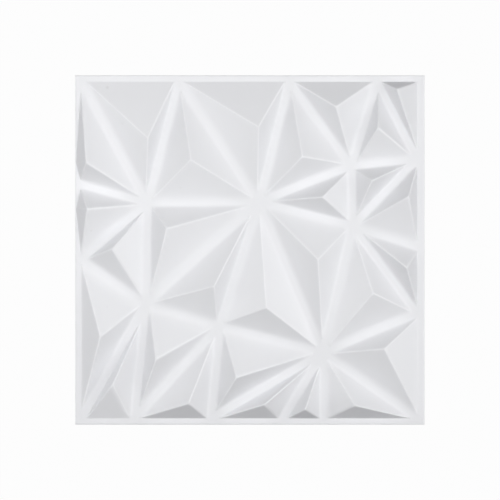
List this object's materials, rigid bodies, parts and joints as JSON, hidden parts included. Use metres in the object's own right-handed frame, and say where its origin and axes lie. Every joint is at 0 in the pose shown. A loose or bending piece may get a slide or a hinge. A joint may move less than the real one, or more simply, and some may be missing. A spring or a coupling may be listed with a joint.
{
  "type": "3d wall panel tile",
  "caption": "Square white plastic wall panel tile, vacuum formed into flat-sided peaks between flat bands that meet in stars, with a flat border.",
  "frame": {"origin": "middle of the square, in the plane of the back that lies on the wall", "axes": "+Z out of the formed face, +Y up the panel as the picture shows it, +X to the right"},
  "size_m": [0.3, 0.3, 0.0167],
  "materials": {
    "sheet": "matte"
  },
  "bodies": {
    "root": {"wall_panel": "sheet"}
  },
  "joints": []
}
